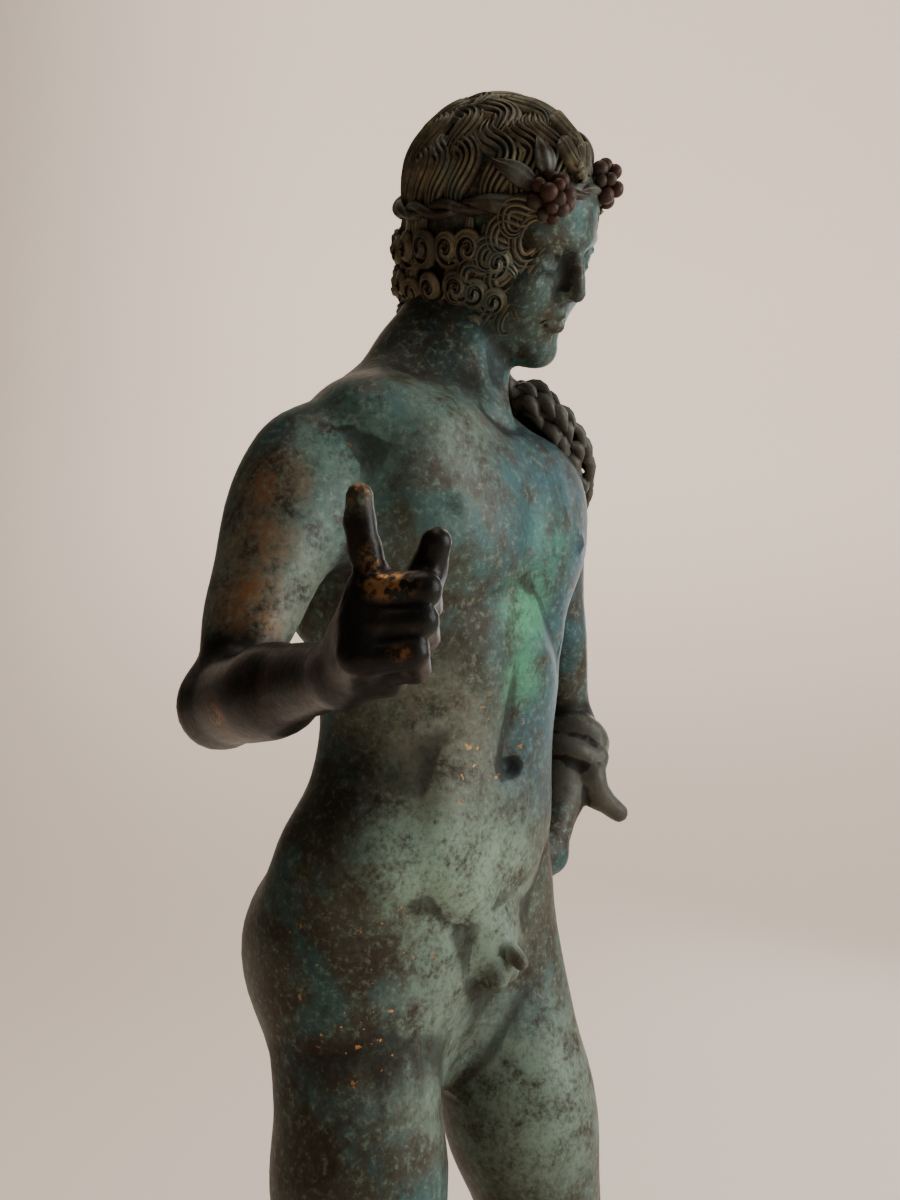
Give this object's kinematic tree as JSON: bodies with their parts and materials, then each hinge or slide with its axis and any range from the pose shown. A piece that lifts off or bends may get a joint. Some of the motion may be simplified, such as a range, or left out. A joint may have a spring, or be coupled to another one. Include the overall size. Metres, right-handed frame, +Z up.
{
  "type": "narcissus statuette",
  "caption": "Bronze statuette of a standing nude youth with a berry wreath, a raised forefinger, a hand on the hip and a fleece over the shoulder, on a low round base.",
  "frame": {"origin": "centre of the base's underside", "axes": "+Z up along the standing figure, -Y the way its chest faces, +X towards its own left"},
  "size_m": [0.257, 0.1842, 0.6032],
  "materials": {
    "figure_bronze": "dark cast bronze with a mottled blue-green and grey-green patina, worn brown on the raised forearm and hand",
    "base_bronze": "dark cast bronze with a brown-green patina"
  },
  "bodies": {
    "root": {"figure": "figure_bronze", "base": "base_bronze"}
  },
  "joints": []
}
